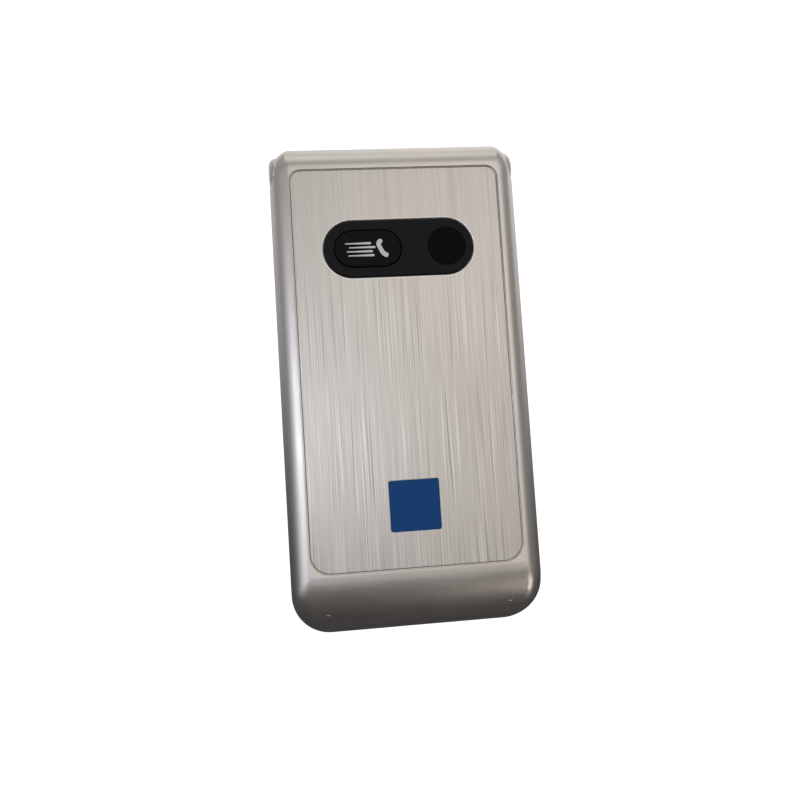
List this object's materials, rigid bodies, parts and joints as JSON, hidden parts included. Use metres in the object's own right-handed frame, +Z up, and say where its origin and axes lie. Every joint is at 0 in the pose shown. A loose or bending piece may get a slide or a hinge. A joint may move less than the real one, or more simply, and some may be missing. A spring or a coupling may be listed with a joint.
{
  "type": "flip phone",
  "caption": "Clamshell mobile phone, closed, with a brushed lid plate, an outside call key beside a camera, a hinged display half and a keypad half.",
  "frame": {"origin": "on the surface that the closed phone lies on, under the middle of its box", "axes": "+X across the phone, +Y from the chin to the hinge, +Z up out of the lid's outer face"},
  "size_m": [0.0543, 0.1056, 0.0194],
  "materials": {
    "silver_shell": "satin silver paint over moulded plastic",
    "base_shell": "satin silver paint, black inside the keypad recess",
    "rear_finish": "satin silver paint",
    "display_face": "piano black face with silver paint on its sides",
    "brushed_plate": "brushed lengthwise, clear coated",
    "window_black": "gloss black",
    "pad_black": "satin black with a pale printed symbol",
    "camera_glass": "smoked clear window",
    "module_black": "moulded black",
    "badge_blue": "plain blue inlay",
    "board_green": "circuit board",
    "display_glass": "clear window, black behind its edge",
    "panel_metal": "plain sheet",
    "fine_mesh": "fine woven mesh",
    "bright_steel": "bright steel",
    "rubber_grey": "soft rubber",
    "dark_screw": "black oxide",
    "flex_amber": "polyimide film",
    "battery_label": "plain dark sleeve",
    "contact_gold": "gold flash",
    "nav_silver": "satin silver",
    "key_light": "satin key caps with pale legends",
    "side_key": "satin silver"
  },
  "bodies": {
    "base": {"antenna": "module_black", "battery": "battery_label", "battery_contacts": "contact_gold", "case_screws": "dark_screw", "dome_sheet": "panel_metal", "hinge_cam": "bright_steel", "hinge_pin": "bright_steel", "keypad_housing": "base_shell", "keypad_mat": "rubber_grey", "loudspeaker": "module_black", "main_board": "board_green", "microphone": "panel_metal", "rear_housing": "base_shell", "shield_cans": "panel_metal", "sim_holder": "panel_metal", "usb_socket": "bright_steel"},
    "lid": {"lid_outer_shell": "silver_shell", "lid_inner_shell": "display_face", "decor_plate": "brushed_plate", "window_bezel": "window_black", "camera_window": "camera_glass", "camera_module": "module_black", "badge": "badge_blue", "lid_board": "board_green", "display_window": "display_glass", "display_module": "panel_metal", "earpiece": "module_black", "earpiece_mesh": "fine_mesh", "vibration_motor": "bright_steel", "lid_magnet": "bright_steel", "lid_bumpers": "rubber_grey", "lid_screws": "dark_screw", "hinge_can": "bright_steel", "hinge_spring": "bright_steel", "hinge_flex": "flex_amber"},
    "battery_cover": {"rear_cover": "rear_finish"},
    "outer_call_pad": {"outer_call_key": "pad_black"},
    "number_key_0_body": {"number_key_0": "key_light"},
    "number_key_1_body": {"number_key_1": "key_light"},
    "number_key_2_body": {"number_key_2": "key_light"},
    "number_key_3_body": {"number_key_3": "key_light"},
    "number_key_4_body": {"number_key_4": "key_light"},
    "number_key_5_body": {"number_key_5": "key_light"},
    "number_key_6_body": {"number_key_6": "key_light"},
    "number_key_7_body": {"number_key_7": "key_light"},
    "number_key_8_body": {"number_key_8": "key_light"},
    "number_key_9_body": {"number_key_9": "key_light"},
    "number_key_hash_body": {"number_key_hash": "key_light"},
    "number_key_star_body": {"number_key_star": "key_light"},
    "soft_key_left_body": {"soft_key_left": "key_light"},
    "soft_key_right_body": {"soft_key_right": "key_light"},
    "call_key_body": {"call_key": "key_light"},
    "end_key_body": {"end_key": "key_light"},
    "nav_ring_body": {"nav_ring": "nav_silver"},
    "ok_key_body": {"ok_key": "key_light"},
    "volume_up_key_body": {"volume_up_key": "side_key"},
    "volume_down_key_body": {"volume_down_key": "side_key"}
  },
  "joints": [
    {"name": "lid_hinge", "type": "hinge", "parent": "base", "child": "lid", "pos_m": [0, 0.0474, 0.0138], "axis": [-1, 0, 0], "range_deg": [0, 160]},
    {"name": "battery_cover_slide", "type": "slide", "parent": "base", "child": "battery_cover", "axis": [0, -1, 0], "range_m": [0, 0.012]},
    {"name": "outer_call_press", "type": "slide", "parent": "lid", "child": "outer_call_pad", "axis": [0, 0, -1], "range_m": [0, 0.0003], "stiffness_N_per_m": 1000},
    {"name": "number_key_0_press", "type": "slide", "parent": "base", "child": "number_key_0_body", "axis": [0, 0, -1], "range_m": [0, 0.0003], "stiffness_N_per_m": 1000},
    {"name": "number_key_1_press", "type": "slide", "parent": "base", "child": "number_key_1_body", "axis": [0, 0, -1], "range_m": [0, 0.0003], "stiffness_N_per_m": 1000},
    {"name": "number_key_2_press", "type": "slide", "parent": "base", "child": "number_key_2_body", "axis": [0, 0, -1], "range_m": [0, 0.0003], "stiffness_N_per_m": 1000},
    {"name": "number_key_3_press", "type": "slide", "parent": "base", "child": "number_key_3_body", "axis": [0, 0, -1], "range_m": [0, 0.0003], "stiffness_N_per_m": 1000},
    {"name": "number_key_4_press", "type": "slide", "parent": "base", "child": "number_key_4_body", "axis": [0, 0, -1], "range_m": [0, 0.0003], "stiffness_N_per_m": 1000},
    {"name": "number_key_5_press", "type": "slide", "parent": "base", "child": "number_key_5_body", "axis": [0, 0, -1], "range_m": [0, 0.0003], "stiffness_N_per_m": 1000},
    {"name": "number_key_6_press", "type": "slide", "parent": "base", "child": "number_key_6_body", "axis": [0, 0, -1], "range_m": [0, 0.0003], "stiffness_N_per_m": 1000},
    {"name": "number_key_7_press", "type": "slide", "parent": "base", "child": "number_key_7_body", "axis": [0, 0, -1], "range_m": [0, 0.0003], "stiffness_N_per_m": 1000},
    {"name": "number_key_8_press", "type": "slide", "parent": "base", "child": "number_key_8_body", "axis": [0, 0, -1], "range_m": [0, 0.0003], "stiffness_N_per_m": 1000},
    {"name": "number_key_9_press", "type": "slide", "parent": "base", "child": "number_key_9_body", "axis": [0, 0, -1], "range_m": [0, 0.0003], "stiffness_N_per_m": 1000},
    {"name": "number_key_hash_press", "type": "slide", "parent": "base", "child": "number_key_hash_body", "axis": [0, 0, -1], "range_m": [0, 0.0003], "stiffness_N_per_m": 1000},
    {"name": "number_key_star_press", "type": "slide", "parent": "base", "child": "number_key_star_body", "axis": [0, 0, -1], "range_m": [0, 0.0003], "stiffness_N_per_m": 1000},
    {"name": "soft_key_left_press", "type": "slide", "parent": "base", "child": "soft_key_left_body", "axis": [0, 0, -1], "range_m": [0, 0.0003], "stiffness_N_per_m": 1000},
    {"name": "soft_key_right_press", "type": "slide", "parent": "base", "child": "soft_key_right_body", "axis": [0, 0, -1], "range_m": [0, 0.0003], "stiffness_N_per_m": 1000},
    {"name": "call_key_press", "type": "slide", "parent": "base", "child": "call_key_body", "axis": [0, 0, -1], "range_m": [0, 0.0003], "stiffness_N_per_m": 1000},
    {"name": "end_key_press", "type": "slide", "parent": "base", "child": "end_key_body", "axis": [0, 0, -1], "range_m": [0, 0.0003], "stiffness_N_per_m": 1000},
    {"name": "nav_ring_press", "type": "slide", "parent": "base", "child": "nav_ring_body", "axis": [0, 0, -1], "range_m": [0, 0.0003], "stiffness_N_per_m": 1000},
    {"name": "ok_key_press", "type": "slide", "parent": "base", "child": "ok_key_body", "axis": [0, 0, -1], "range_m": [0, 0.0003], "stiffness_N_per_m": 1000},
    {"name": "volume_up_key_press", "type": "slide", "parent": "base", "child": "volume_up_key_body", "axis": [1, 0, 0], "range_m": [0, 0.0003], "stiffness_N_per_m": 1000},
    {"name": "volume_down_key_press", "type": "slide", "parent": "base", "child": "volume_down_key_body", "axis": [1, 0, 0], "range_m": [0, 0.0003], "stiffness_N_per_m": 1000}
  ]
}
